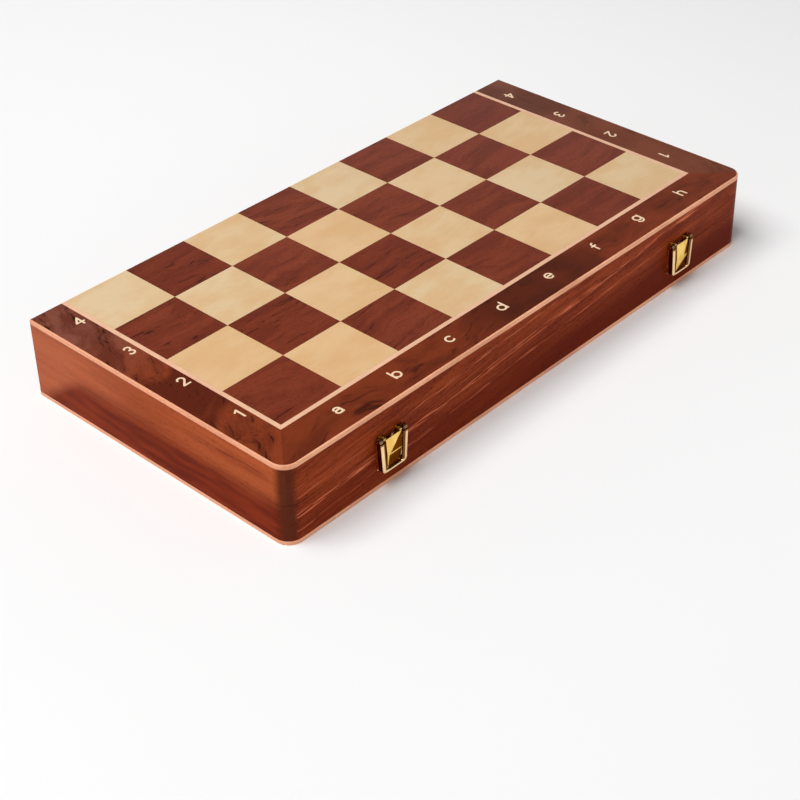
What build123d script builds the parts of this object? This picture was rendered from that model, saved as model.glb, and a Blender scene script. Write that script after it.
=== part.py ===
# Folding chess box: two shallow wooden trays hinged along one long side. Their outer faces are
# the two halves of a chess board, so the closed box shows ranks 1 to 4 on top and 5 to 8 below.
# Millimetres. X runs along the files a to h, Y from the latches to the hinges, Z up.
# The origin is the middle of the underside.
import os

from build123d import *

os.makedirs("parts", exist_ok=True)

# ---- Board faces ----
square = 42.0             # side of one square
files = 8
ranks_per_half = 4
margin_a = 24.0           # from the a-file to the outside of the box
margin_h = 26.0           # from the h-file to the outside of the box
margin_front = 27.0       # from the playing field to the latch side
veneer = 0.6              # thickness of everything laid on the panel
veneer_joint = 0.06       # hairline between neighbouring veneers
saw_loss = 1.1            # off the last rank, where the board was sawn in two
stringing_width = 2.8     # light line round the playing field
edging_width = 0.8        # light strip on the outer edge, seen from above
edging_round = 0.7        # rounding of that strip

# ---- Letters and numbers let into the border ----
type_size = 10.0          # height of the body that the signs are drawn on
glyph_stroke = 1.15       # width of every stroke
letter_pitch = 41.3
letter_shift = 3.4        # the row of letters sits this far towards its last letter
letter_drop = 12.4        # from the playing field to the middle of the letters
number_pitch = 41.4
number_near = 7.4         # from the playing field to the numbers on the player's left
number_far = 12.3         # from the playing field to the numbers on the player's right

# ---- Carcass ----
panel_thickness = 2.0
wall_height = 21.9
wall_thickness = 11.0
corner_radius = 9.0       # upright corners on the latch side
seam_gap = 0.2            # between the closed halves
felt_thickness = 1.0
felt_joint = 0.1          # between felt and felt or felt and wood
felt_reveal = 2.0         # bare wood between the wall felt and the rim

# ---- Back hinges ----
hinge_setback = 68.0      # from either end of the box to the middle of a hinge
hinge_length = 38.0
hinge_knuckles = 5
knuckle_radius = 2.0
knuckle_gap = 0.3         # end to end between knuckles
hinge_pin_radius = 0.9
pin_fit = 0.05            # running clearance of every pin, on the radius
axis_offset = 0.1         # hinge axis behind the back face
leaf_reach = 9.2          # from the hinge axis to the edge of a leaf
leaf_thickness = 0.9
mortise_ease = 0.1        # round a leaf in its mortise
swing_clearance = 0.35    # round everything that turns
screw_spacing = 24.0
screw_setback = 5.6       # from the hinge axis to the screws
screw_radius = 0.8
screw_head_radius = 1.6
screw_length = 9.0
screw_slot = 0.4
hole_ease = 0.06          # on the radius of screw and nail holes

# ---- Latches ----
latch_from_a = 70.7       # from the end of the box at the a-file to the middle of its latch
latch_from_h = 67.3       # the same at the h-file
latch_width = 20.2        # across the top of the hasp
latch_foot_width = 17.6   # across the bottom of the hasp
latch_plate = 0.6         # sheet thickness of all latch pieces
plate_width = 18.0        # across the plates on the wood
plate_lift = 0.6          # from the seam to the plate on either half
hasp_top = 6.2            # top edge of the hasp above the seam
hasp_drop = 12.8          # bottom edge of the hasp below the seam
hasp_stand = 4.2          # front of the hasp from the wood
hasp_lift = 1.0           # rear edge of the hasp's sides from the wood
hasp_foot_radius = 2.2
rail_width = 3.2
rail_height = 0.6         # rounded rails stand this proud of the hasp's front
rail_round = 0.5
lip_width = 1.2           # the same rim along the bottom
slit_width = 0.8
slit_foot = 1.3           # uncut metal between the slits and the bottom rim
tongue_top = 7.4          # top of the tongue above the seam
tongue_crease = 0.35      # the tongue is folded this proud across
crease_drop = 2.4         # from the seam down to that fold
pivot_height = 6.9        # latch pivot above the seam
pivot_stand = 2.3         # latch pivot from the wood
curl_radius = 1.6         # rolled end of each rail, round the pivot
ear_radius = 1.1
ear_width = 1.7
ear_gap = 0.3             # between an ear and the curl beside it
ear_web = 1.2             # thickness of the web that carries an ear
latch_pin_radius = 0.6
hinge_plate_height = 8.4  # plate on the lid
notch_width = 8.6         # open middle of that plate
notch_depth = 3.4
catch_plate_height = 11.4
catch_width = 7.0
catch_height = 1.8
catch_round = 0.6
catch_stand = 2.4         # front of the catch from the wood
catch_foot = 0.6          # plate below the catch
catch_gap = 0.3           # between the catch and the hasp's inward lip below it
nail_radius = 0.5
nail_head_radius = 1.0
nail_head_height = 0.45
nail_length = 7.0
nail_inset = 3.4          # from the side of a plate to its nails
catch_nail_rows = (2.4, 8.8)  # below the top edge of the catch plate
hinge_nail_row = 2.2      # above the bottom edge of the plate on the lid

# ---- Worked out from the values above ----
length = margin_a + files * square + margin_h
depth = margin_front + ranks_per_half * square - saw_loss
edging_height = veneer + panel_thickness
half_height = edging_height + wall_height
height = 2 * half_height + seam_gap
seam_z = height / 2
front_y = -depth / 2
back_y = depth / 2
field_front = front_y + margin_front
axis_y = back_y + axis_offset
knuckle_pitch = hinge_length / hinge_knuckles
hinge_places = {"left": -length / 2 + hinge_setback, "right": length / 2 - hinge_setback}
latch_places = {"left": -length / 2 + latch_from_a, "right": length / 2 - latch_from_h}
screw_offsets = (-screw_spacing / 2, screw_spacing / 2)
screw_spots = [
    (place + along, axis_y - screw_setback)
    for place in hinge_places.values()
    for along in screw_offsets
]
slit_bottom = -hasp_drop + lip_width + slit_foot
ear_outer = latch_width / 2 - rail_width - ear_gap
ear_middle = ear_outer - ear_width / 2
catch_bottom = -plate_lift - catch_plate_height + catch_foot
nail_x = plate_width / 2 - nail_inset
hinge_nails = [(x, plate_lift + hinge_nail_row) for x in (-nail_x, nail_x)]
catch_nails = [(x, -plate_lift - row) for x in (-nail_x, nail_x) for row in catch_nail_rows]


def outline(inset):
    """Plan of a half, drawn in from its three free sides: round corners in front, square behind."""
    with BuildSketch(mode=Mode.PRIVATE) as plan:
        with Locations((0, inset / 2)):
            Rectangle(length - 2 * inset, depth - inset)
        fillet(plan.vertices().group_by(Axis.Y)[0], corner_radius - inset)
    return plan.sketch


def mitred(outer, inner):
    """Left, front and right strips between two frames, each given as (left, front, right)."""
    outer_left, outer_front, outer_right = outer
    inner_left, inner_front, inner_right = inner
    return {
        "left": [
            (outer_left, outer_front),
            (inner_left, inner_front),
            (inner_left, back_y),
            (outer_left, back_y),
        ],
        "front": [
            (outer_left, outer_front),
            (outer_right, outer_front),
            (inner_right, inner_front),
            (inner_left, inner_front),
        ],
        "right": [
            (outer_right, outer_front),
            (outer_right, back_y),
            (inner_right, back_y),
            (inner_right, inner_front),
        ],
    }


# Strokes of each sign on a body ten units high, to the middle of the stroke.
# A straight stroke is (start, end), a round one (centre, radius, from angle, turn).
ring = (((0, 0), 2.35, 0, 180), ((0, 0), 2.35, 180, 180))
signs = {
    "a": (
        ((0, 0.45), 1.9, 0, 155),
        ((1.9, 0.45), (1.9, -2.35)),
        ((1.9, 0.3), (-0.45, 0.3)),
        ((-0.45, -1.02), 1.33, 90, 180),
        ((-0.45, -2.35), (0.3, -2.35)),
        ((0.3, -0.75), 1.6, -90, 85),
    ),
    "b": (*ring, ((-2.45, -2.35), (-2.45, 4.5))),
    "c": (((0, 0), 2.35, 45, 270),),
    "d": (*ring, ((2.45, -2.35), (2.45, 4.5))),
    "e": (((0, 0), 2.35, 0, 180), ((0, 0), 2.35, 180, 135), ((-2.35, 0), (2.35, 0))),
    "f": (((-0.3, -2.35), (-0.3, 2.9)), ((1.3, 2.9), 1.6, 90, 90), ((-1.6, 1.9), (1.4, 1.9))),
    "g": (*ring, ((2.45, 2.35), (2.45, -2.05)), ((0, -2.05), 2.45, 0, -150)),
    "h": (((-2, -2.35), (-2, 4.5)), ((0, 0.35), 2, 0, 180), ((2, 0.35), (2, -2.35))),
    "1": (((0.6, -3.42), (0.6, 3.42)), ((0.6, 3.42), (-1.2, 2.0))),
    "2": (((0, 1.55), 1.87, 165, -200), ((1.53, 0.48), (-1.9, -3.42)), ((-1.9, -3.42), (2.0, -3.42))),
    "3": (((0, 1.75), 1.67, 150, -240), ((0, -1.75), 1.75, 90, -240)),
    "4": (((1, -3.42), (1, 3.42)), ((1, 3.42), (-2.3, -1.2)), ((-2.3, -1.2), (2.4, -1.2))),
    "5": (((1.7, 3.42), (-1.4, 3.42)), ((-1.4, 3.42), (-1.62, -0.05)), ((0, -1.37), 2.05, 140, -280)),
    "6": (((0, -1.37), 2.05, 0, 180), ((0, -1.37), 2.05, 180, 180), ((2.6, -0.6), 4.7, 190, -80)),
    "7": (((-2, 3.42), (2, 3.42)), ((2, 3.42), (-0.7, -3.42))),
    "8": (
        ((0, 1.8), 1.62, 0, 180),
        ((0, 1.8), 1.62, 180, 180),
        ((0, -1.62), 1.8, 0, 180),
        ((0, -1.62), 1.8, 180, 180),
    ),
}


def sign_face(mark, stroke_width):
    """Flat outline of one letter or number with round stroke ends, centred on its own box."""
    unit = type_size / 10
    pen = stroke_width / unit
    with BuildSketch(mode=Mode.PRIVATE) as sign:
        for stroke in signs[mark]:
            with BuildLine() as line:
                if len(stroke) == 2:
                    Line(*stroke)
                else:
                    CenterArc(*stroke)
            trace(line_width=pen)
            with Locations(line.line @ 0, line.line @ 1):
                Circle(pen / 2)
        scale(by=unit)
    return sign.sketch.moved(Location(-sign.sketch.bounding_box().center()))


def lettering(marks, spots, stroke_width, turn=0):
    """A row of letters or numbers, each centred on its spot."""
    with BuildSketch(mode=Mode.PRIVATE) as row:
        for mark, spot in zip(marks, spots):
            with Locations(spot):
                add(sign_face(mark, stroke_width), rotation=turn)
    return row.sketch


def hasp_side(y):
    """Half the width of a hasp at a height from the seam; its sides run together downwards."""
    flare = (latch_width - latch_foot_width) / 2 / (hasp_top + hasp_drop)
    return latch_foot_width / 2 + flare * (y + hasp_drop)


def hasp_outline(inset):
    """Front view of a hasp, drawn in from its sides and its foot but not from its open top."""
    top = hasp_top + inset
    with BuildSketch(mode=Mode.PRIVATE) as view:
        Polygon(
            (-hasp_side(top), top),
            (-hasp_side(-hasp_drop), -hasp_drop),
            (hasp_side(-hasp_drop), -hasp_drop),
            (hasp_side(top), top),
            align=None,
        )
        fillet(view.vertices().group_by(Axis.Y)[0], hasp_foot_radius)
        if inset:
            offset(amount=-inset)
    return view.sketch


def hasp_strip(outer, inner, foot):
    """Strips along both sides of a hasp, between two distances in from its sides, above a foot."""
    with BuildSketch(mode=Mode.PRIVATE) as strips:
        for side in (-1, 1):
            Polygon(
                (side * (hasp_side(foot) - outer), foot),
                (side * (hasp_side(foot) - inner), foot),
                (side * (hasp_side(hasp_top) - inner), hasp_top),
                (side * (hasp_side(hasp_top) - outer), hasp_top),
                align=None,
            )
    return strips.sketch


def latch_plane(place):
    """Front of the box at a latch: x to the right, y up from the seam, z out of the wood."""
    return Plane(origin=(place, front_y, seam_z), x_dir=(1, 0, 0), z_dir=(0, -1, 0))


def side_plane(place):
    """Upright plane square to the front: x out of the wood, y up from the seam, z to the left."""
    return Plane(origin=(place, front_y, seam_z), x_dir=(0, -1, 0), z_dir=(-1, 0, 0))


def finish(piece, name):
    """Labels a finished piece and writes it."""
    piece.part.label = name
    export_step(piece.part, f"parts/{name}.step")


# ---- The two halves. The base is made like the lid and turned over, so one loop makes both ----
for half, side in (("lid", 1), ("base", -1)):
    # Outer face as the player at its latch side sees it: x to the player's right, y to the hinges
    face = Plane(origin=(0, 0, seam_z + side * height / 2), x_dir=(side, 0, 0), z_dir=(0, 0, side))
    letters = "abcdefgh"[::side]
    numbers = "1234" if side > 0 else "8765"
    margin_left = margin_a if side > 0 else margin_h
    field_left = -length / 2 + margin_left
    field_right = field_left + files * square
    place_names = {"left": "left", "front": "front", "right": "right", "back": "back"}
    if side < 0:
        place_names.update(left="right", right="left")

    # Panel: thin plywood that carries the veneers
    with BuildPart() as panel:
        with BuildSketch(face.offset(-veneer)):
            add(outline(edging_width + veneer_joint))
        extrude(amount=-panel_thickness)
    finish(panel, f"{half}_panel")

    # Edging: a light strip bent round the front corners, rounded over on its outer edge
    with BuildPart() as edging:
        with BuildLine(face) as run:
            FilletPolyline(
                (-length / 2, back_y),
                (-length / 2, front_y),
                (length / 2, front_y),
                (length / 2, back_y),
                radius=corner_radius,
            )
        with BuildSketch(Plane(origin=run.line @ 0, x_dir=face.x_dir, z_dir=run.line % 0)) as strip:
            with Locations((edging_width / 2, -edging_height / 2)):
                Rectangle(edging_width, edging_height)
            fillet(strip.vertices().group_by(Axis.Y)[-1].sort_by(Axis.X)[0], edging_round)
        sweep()
    finish(edging, f"{half}_edging")

    # Squares: dark in the player's left corner, then alternating
    for tone, parity in (("dark", 0), ("light", 1)):
        centres = [
            (field_left + (file + 0.5) * square, field_front + (rank + 0.5) * square)
            for file in range(files)
            for rank in range(ranks_per_half)
            if (file + rank) % 2 == parity
        ]
        with BuildPart() as squares:
            with BuildSketch(face):
                with Locations(*centres):
                    Rectangle(square - veneer_joint, square - veneer_joint)
                add(outline(0), mode=Mode.INTERSECT)
            extrude(amount=-veneer)
        finish(squares, f"{half}_{tone}_squares")

    # Stringing: three light strips mitred at the front corners of the playing field
    field = (field_left, field_front, field_right)
    string = (field_left - stringing_width, field_front - stringing_width, field_right + stringing_width)
    with BuildPart() as stringing:
        for strip in mitred(string, field).values():
            with BuildSketch(face):
                Polygon(*strip, align=None)
                offset(amount=-veneer_joint / 2, kind=Kind.INTERSECTION)
            extrude(amount=-veneer)
    finish(stringing, f"{half}_stringing")

    # Letters and numbers: light veneer let into the border
    letter_middle = (field_left + field_right) / 2 + letter_shift
    letter_spots = [
        (letter_middle + (i - (files - 1) / 2) * letter_pitch, field_front - letter_drop)
        for i in range(files)
    ]
    number_rows = [
        field_front + (ranks_per_half * square) / 2 + (i - (ranks_per_half - 1) / 2) * number_pitch
        for i in range(ranks_per_half)
    ]
    marks = {
        "front": (letters, letter_spots, 0),
        "left": (numbers, [(field_left - number_near, row) for row in number_rows], 0),
        "right": (numbers, [(field_right + number_far, row) for row in number_rows], 180),
    }
    with BuildPart() as letter_inlay:
        with BuildSketch(face):
            add(lettering(letters, letter_spots, glyph_stroke))
        extrude(amount=-veneer)
    finish(letter_inlay, f"{half}_letters")

    with BuildPart() as number_inlay:
        for edge in ("left", "right"):
            figures, spots, turn = marks[edge]
            with BuildSketch(face):
                add(lettering(figures, spots, glyph_stroke, turn))
            extrude(amount=-veneer)
    finish(number_inlay, f"{half}_numbers")

    # Border: three mitred veneers between stringing and edging, cut out for the letters and numbers
    frame = (-length / 2, front_y, length / 2)
    for edge, strip in mitred(frame, string).items():
        figures, spots, turn = marks[edge]
        with BuildPart() as border:
            with BuildSketch(face):
                Polygon(*strip, align=None)
                add(outline(edging_width + veneer_joint / 2), mode=Mode.INTERSECT)
                offset(amount=-veneer_joint / 2, kind=Kind.INTERSECTION)
                add(lettering(figures, spots, glyph_stroke + 2 * veneer_joint, turn), mode=Mode.SUBTRACT)
            extrude(amount=-veneer)
        finish(border, f"{half}_border_{place_names[edge]}")

    # Walls: solid wood, mitred at all four corners, with mortises for hinges and holes for fixings
    inside = (-length / 2 + wall_thickness, front_y + wall_thickness, length / 2 - wall_thickness)
    walls = mitred(frame, inside)
    back_inside = back_y - wall_thickness
    walls["back"] = [
        (-length / 2, back_y),
        (inside[0], back_inside),
        (inside[2], back_inside),
        (length / 2, back_y),
    ]
    walls["left"][2] = (inside[0], back_inside)
    walls["right"][2] = (inside[2], back_inside)
    rim_z = seam_z + side * seam_gap / 2
    for edge, plan in walls.items():
        with BuildPart() as wall:
            with BuildSketch(face.offset(-edging_height)):
                Polygon(*plan, align=None)
                add(outline(0), mode=Mode.INTERSECT)
            extrude(amount=-wall_height)
            if edge == "back":
                for place in hinge_places.values():
                    with Locations((place, axis_y - leaf_reach / 2, rim_z + side * leaf_thickness / 2)):
                        Box(
                            hinge_length + 2 * mortise_ease,
                            leaf_reach + 2 * mortise_ease,
                            leaf_thickness,
                            mode=Mode.SUBTRACT,
                        )
                    with Locations((place, axis_y, seam_z)):
                        Cylinder(
                            knuckle_radius + swing_clearance,
                            hinge_length + 2 * swing_clearance,
                            rotation=(0, 90, 0),
                            mode=Mode.SUBTRACT,
                        )
                with Locations(*[(x, y, rim_z + side * screw_length / 2) for x, y in screw_spots]):
                    Cylinder(screw_radius + hole_ease, screw_length + 2 * hole_ease, mode=Mode.SUBTRACT)
            if edge == "front":
                for place in latch_places.values():
                    with BuildSketch(latch_plane(place)):
                        with Locations(*(hinge_nails if side > 0 else catch_nails)):
                            Circle(nail_radius + hole_ease)
                    extrude(amount=-nail_length, mode=Mode.SUBTRACT)
        finish(wall, f"{half}_{place_names[edge]}_wall")

    # Lining: felt on the panel and round the walls
    lining_length = length - 2 * (wall_thickness + felt_joint)
    lining_depth = depth - 2 * (wall_thickness + felt_joint)
    with BuildPart() as floor_felt:
        with BuildSketch(face.offset(-edging_height)):
            Rectangle(lining_length, lining_depth)
        extrude(amount=-felt_thickness)
    finish(floor_felt, f"{half}_floor_felt")

    with BuildPart() as wall_felt:
        with BuildSketch(face.offset(-edging_height - felt_thickness - felt_joint)):
            Rectangle(lining_length, lining_depth)
            Rectangle(
                lining_length - 2 * felt_thickness,
                lining_depth - 2 * felt_thickness,
                mode=Mode.SUBTRACT,
            )
        extrude(amount=-(wall_height - felt_thickness - felt_joint - felt_reveal))
    finish(wall_felt, f"{half}_wall_felt")

# ---- Back hinges: brass butts let into both rims, opening from closed to flat ----
for place_name, place in hinge_places.items():
    knuckles = [place + (i + 0.5) * knuckle_pitch - hinge_length / 2 for i in range(hinge_knuckles)]
    for half, side in (("lid", 1), ("base", -1)):
        own, other = (knuckles[1::2], knuckles[0::2]) if side > 0 else (knuckles[0::2], knuckles[1::2])
        plate_z = seam_z + side * (seam_gap + leaf_thickness) / 2
        rim_z = seam_z + side * seam_gap / 2
        with BuildPart() as leaf:
            with Locations((place, axis_y - leaf_reach / 2, plate_z)):
                Box(hinge_length, leaf_reach, leaf_thickness)
            with Locations(*[(x, axis_y, seam_z) for x in other]):
                Cylinder(
                    knuckle_radius + swing_clearance,
                    knuckle_pitch + knuckle_gap,
                    rotation=(0, 90, 0),
                    mode=Mode.SUBTRACT,
                )
            with Locations(*[(x, axis_y, seam_z) for x in own]):
                Cylinder(knuckle_radius, knuckle_pitch - knuckle_gap, rotation=(0, 90, 0))
            with Locations((place, axis_y, seam_z)):
                Cylinder(
                    hinge_pin_radius + pin_fit,
                    hinge_length,
                    rotation=(0, 90, 0),
                    mode=Mode.SUBTRACT,
                )
            with Locations(*[Plane((x, y, rim_z), z_dir=(0, 0, -side)) for x, y in screw_spots]):
                CounterSinkHole(
                    screw_radius + hole_ease,
                    screw_head_radius + hole_ease,
                    depth=leaf_thickness,
                    counter_sink_angle=90,
                )
        finish(leaf, f"{half}_hinge_leaf_{place_name}")

    with BuildPart() as hinge_pin:
        with Locations((place, axis_y, seam_z)):
            Cylinder(hinge_pin_radius, hinge_length, rotation=(0, 90, 0))
        fillet(hinge_pin.edges(), hinge_pin_radius / 3)
    finish(hinge_pin, f"hinge_pin_{place_name}")

# ---- Hinge screws: countersunk, slotted, four in each rim ----
for half, side in (("lid", 1), ("base", -1)):
    rim_z = seam_z + side * seam_gap / 2
    with BuildPart() as screws:
        for x, y in screw_spots:
            driven = Plane((x, y, rim_z), z_dir=(0, 0, -side))
            with BuildSketch(driven):
                Circle(screw_radius)
            extrude(amount=-screw_length)
            with Locations(driven):
                Cone(
                    screw_radius,
                    screw_head_radius,
                    screw_head_radius - screw_radius,
                    align=(Align.CENTER, Align.CENTER, Align.MAX),
                )
                Box(2 * screw_head_radius, screw_slot, 2 * screw_slot, mode=Mode.SUBTRACT)
    finish(screws, f"{half}_hinge_screws")

# ---- Latches: a hasp turns on the lid and springs over a catch on the base ----
for place_name, place in latch_places.items():
    wood = latch_plane(place)

    # Plate on the lid: open at the top middle, with two upright ears that carry the pivot
    with BuildPart() as lid_plate:
        with BuildSketch(wood):
            with Locations((0, plate_lift + hinge_plate_height / 2)):
                Rectangle(plate_width, hinge_plate_height)
            with Locations((0, plate_lift + hinge_plate_height - notch_depth / 2)):
                Rectangle(notch_width, notch_depth, mode=Mode.SUBTRACT)
            with Locations(*hinge_nails):
                Circle(nail_radius + hole_ease, mode=Mode.SUBTRACT)
        extrude(amount=latch_plate)
        for side in (-1, 1):
            with BuildSketch(side_plane(place + side * ear_middle)):
                with Locations((pivot_stand, pivot_height)):
                    Circle(ear_radius)
                with Locations((pivot_stand / 2, pivot_height)):
                    Rectangle(pivot_stand, ear_web)
                with Locations((pivot_stand, pivot_height)):
                    Circle(latch_pin_radius + hole_ease, mode=Mode.SUBTRACT)
            extrude(amount=ear_width / 2, both=True)
    finish(lid_plate, f"lid_latch_plate_{place_name}")

    # Pivot: a short pin on each side, through the ear and the curl beside it
    with BuildPart() as pins:
        for side in (-1, 1):
            with BuildSketch(side_plane(place + side * (ear_middle - ear_width / 2))):
                with Locations((pivot_stand, pivot_height)):
                    Circle(latch_pin_radius)
            extrude(amount=-side * (ear_width + ear_gap + rail_width))
    finish(pins, f"latch_pins_{place_name}")

    # Hasp: a pressed pan, open at the back and the top, with raised rails, a slit tongue and curls
    with BuildPart() as hasp:
        with BuildSketch(wood.offset(hasp_lift)):
            add(hasp_outline(0))
        extrude(amount=hasp_stand - hasp_lift)
        with BuildSketch(wood.offset(hasp_lift)):
            add(hasp_outline(latch_plate))
        extrude(amount=hasp_stand - hasp_lift - latch_plate, mode=Mode.SUBTRACT)
        with BuildSketch(wood.offset(hasp_stand)):
            add(hasp_outline(0))
            Polygon(
                (-hasp_side(-hasp_drop) + rail_width, -hasp_drop + lip_width),
                (hasp_side(-hasp_drop) - rail_width, -hasp_drop + lip_width),
                (hasp_side(hasp_top) - rail_width, hasp_top),
                (-hasp_side(hasp_top) + rail_width, hasp_top),
                align=None,
                mode=Mode.SUBTRACT,
            )
        extrude(amount=rail_height)
        fillet(hasp.faces().filter_by(Axis.Y).sort_by(Axis.Y)[0].edges(), rail_round)
        with BuildSketch(wood.offset(hasp_stand)):
            add(hasp_strip(rail_width + slit_width, rail_width, slit_bottom))
        extrude(amount=-latch_plate, mode=Mode.SUBTRACT)
        tongue_side = hasp_side(hasp_top) - rail_width - slit_width
        with BuildSketch(wood.offset(hasp_stand)):
            with Locations((0, hasp_top)):
                Rectangle(2 * tongue_side, tongue_top - hasp_top, align=(Align.CENTER, Align.MIN))
        extrude(amount=-latch_plate)
        with BuildSketch(side_plane(place)):
            Polygon(
                (hasp_stand, slit_bottom),
                (hasp_stand + tongue_crease, -crease_drop),
                (hasp_stand, tongue_top),
                align=None,
            )
        extrude(amount=hasp_side(-hasp_drop) - rail_width - slit_width, both=True)
        with BuildSketch(wood.offset(hasp_lift)):
            with Locations((0, catch_bottom - catch_gap)):
                Rectangle(
                    catch_width,
                    hasp_drop + catch_bottom - catch_gap,
                    align=(Align.CENTER, Align.MAX),
                )
        extrude(amount=latch_plate)
        for side in (-1, 1):
            with BuildSketch(side_plane(place + side * (latch_width - rail_width) / 2)):
                with Locations((pivot_stand, pivot_height)):
                    Circle(curl_radius)
                with Locations((hasp_stand, pivot_height)):
                    Rectangle(latch_plate, pivot_height - hasp_top, align=(Align.MAX, Align.MAX))
                with Locations((pivot_stand, pivot_height)):
                    Circle(latch_pin_radius + pin_fit, mode=Mode.SUBTRACT)
            extrude(amount=rail_width / 2, both=True)
    finish(hasp, f"hasp_{place_name}")

    # Catch plate on the base, with a rounded bead that the hasp's lip springs under
    with BuildPart() as catch_plate:
        with BuildSketch(wood):
            with Locations((0, -plate_lift)):
                Rectangle(plate_width, catch_plate_height, align=(Align.CENTER, Align.MAX))
            with Locations(*catch_nails):
                Circle(nail_radius + hole_ease, mode=Mode.SUBTRACT)
        extrude(amount=latch_plate)
        with BuildSketch(side_plane(place)) as bead:
            with Locations((0, catch_bottom)):
                Rectangle(catch_stand, catch_height, align=(Align.MIN, Align.MIN))
            fillet(bead.vertices().group_by(Axis.X)[-1], catch_round)
        extrude(amount=catch_width / 2, both=True)
    finish(catch_plate, f"catch_plate_{place_name}")

# ---- Latch nails: low round heads, two in each plate on the lid and four in each catch plate ----
for half, spots in (("lid", hinge_nails), ("base", catch_nails)):
    with BuildPart() as nails:
        for place in latch_places.values():
            plate_front = latch_plane(place).offset(latch_plate)
            with BuildSketch(plate_front):
                with Locations(*spots):
                    Circle(nail_head_radius)
            extrude(amount=nail_head_height)
            with BuildSketch(plate_front):
                with Locations(*spots):
                    Circle(nail_radius)
            extrude(amount=-latch_plate - nail_length)
    finish(nails, f"{half}_latch_nails")

print("length", length, "depth", depth, "height", height)
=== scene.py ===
# Folding chess box: two shallow trays hinged along one long side, their outer faces the two halves
# of a chess board, closed by two brass hasps. Metres, in the frame of the solid model.
import math

import bmesh
import bpy
from mathutils import Matrix, Vector


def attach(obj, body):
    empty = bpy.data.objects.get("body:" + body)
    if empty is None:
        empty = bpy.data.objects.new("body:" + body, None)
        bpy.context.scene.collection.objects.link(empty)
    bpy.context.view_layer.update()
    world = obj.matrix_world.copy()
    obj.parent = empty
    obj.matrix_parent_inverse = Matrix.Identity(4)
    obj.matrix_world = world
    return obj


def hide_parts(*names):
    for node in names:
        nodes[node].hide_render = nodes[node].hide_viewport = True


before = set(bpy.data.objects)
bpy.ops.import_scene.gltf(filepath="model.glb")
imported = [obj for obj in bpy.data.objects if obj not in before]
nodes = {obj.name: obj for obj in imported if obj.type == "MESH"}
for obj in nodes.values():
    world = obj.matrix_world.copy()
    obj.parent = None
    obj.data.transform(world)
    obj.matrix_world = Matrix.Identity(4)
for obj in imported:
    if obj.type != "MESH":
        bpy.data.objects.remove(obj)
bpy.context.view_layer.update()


# ---- Table, studio light and camera ----
# A pale seamless table under one large soft panel up at the left. The walls of the room are bright
# low down all round and its ceiling is dim, so that the lacquer keeps its colour.
def tone(red, green, blue):
    """A colour as it is read off a sample card, 0 to 255, made linear."""
    shares = (red / 255, green / 255, blue / 255)
    return tuple(c / 12.92 if c <= 0.04045 else ((c + 0.055) / 1.055) ** 2.4 for c in shares) + (1.0,)


def add_node(tree, kind, sockets=None, **options):
    """Adds a node, sets its options and fills its sockets with values or with links."""
    node = tree.nodes.new("ShaderNode" + kind)
    for option, value in options.items():
        setattr(node, option, value)
    for socket, value in (sockets or {}).items():
        if isinstance(value, bpy.types.NodeSocket):
            tree.links.new(value, node.inputs[socket])
        else:
            node.inputs[socket].default_value = value
    return node


def reckon(tree, operation, *values):
    """One step of arithmetic on values or sockets."""
    return add_node(tree, "Math", dict(enumerate(values)), operation=operation).outputs[0]


def ease(tree, value, start, end):
    """0 before start, 1 after end, and a smooth rise between them."""
    sockets = {"Value": value, "From Min": start, "From Max": end}
    return add_node(tree, "MapRange", sockets, interpolation_type="SMOOTHSTEP").outputs[0]


def stain(tree, share, first, second):
    """Mixes two colours by a share."""
    return add_node(tree, "Mix", {0: share, 6: first, 7: second}, data_type="RGBA").outputs[2]


def split(tree, vector):
    """The X, Y and Z of a vector."""
    return add_node(tree, "SeparateXYZ", {0: vector}).outputs


def new_material(name):
    """An empty material with its shader, ready for the nodes of one finish."""
    material = bpy.data.materials.new(name)
    material.use_nodes = True
    tree = material.node_tree
    tree.nodes.clear()
    shader = tree.nodes.new("ShaderNodeBsdfPrincipled")
    output = tree.nodes.new("ShaderNodeOutputMaterial")
    tree.links.new(shader.outputs["BSDF"], output.inputs["Surface"])
    return material, tree, shader


def new_piece(name, shape, material):
    """Turns a finished bmesh into an object with its place in its mesh."""
    mesh = bpy.data.meshes.new(name)
    shape.to_mesh(mesh)
    shape.free()
    mesh.materials.append(material)
    piece = bpy.data.objects.new(name, mesh)
    bpy.context.scene.collection.objects.link(piece)
    return piece


table_paint, tree, shader = new_material("table_paint")
spot = add_node(tree, "TexCoord").outputs["Object"]
cloud = add_node(tree, "TexNoise", {"Vector": spot, "Scale": 3.0}).outputs["Fac"]
paint = stain(tree, cloud, tone(239, 239, 239), tone(242, 242, 242))
# Painted light: the table is painted whiter away from the lamp, to even out the lamp's fall-off
painted_floor_light = ease(tree, split(tree, spot)["X"], -0.42, 0.30)
tree.links.new(stain(tree, painted_floor_light, paint, tone(255, 255, 255)), shader.inputs["Base Color"])
shader.inputs["Roughness"].default_value = 0.8
shader.inputs["Specular IOR Level"].default_value = 0.1

slab = bmesh.new()
bmesh.ops.create_grid(slab, x_segments=1, y_segments=1, size=6.0)
table = new_piece("table", slab, table_paint)

wall_glow = (1.10, 1.10, 1.10, 1.0)
ceiling_glow = (0.09, 0.09, 0.09, 1.0)
room = bpy.data.worlds.new("room")
bpy.context.scene.world = room
room.use_nodes = True
tree = room.node_tree
upward = split(tree, add_node(tree, "TexCoord").outputs["Generated"])["Z"]
glow = stain(tree, ease(tree, upward, 0.02, 0.61), wall_glow, ceiling_glow)
tree.links.new(glow, tree.nodes["Background"].inputs["Color"])

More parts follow.
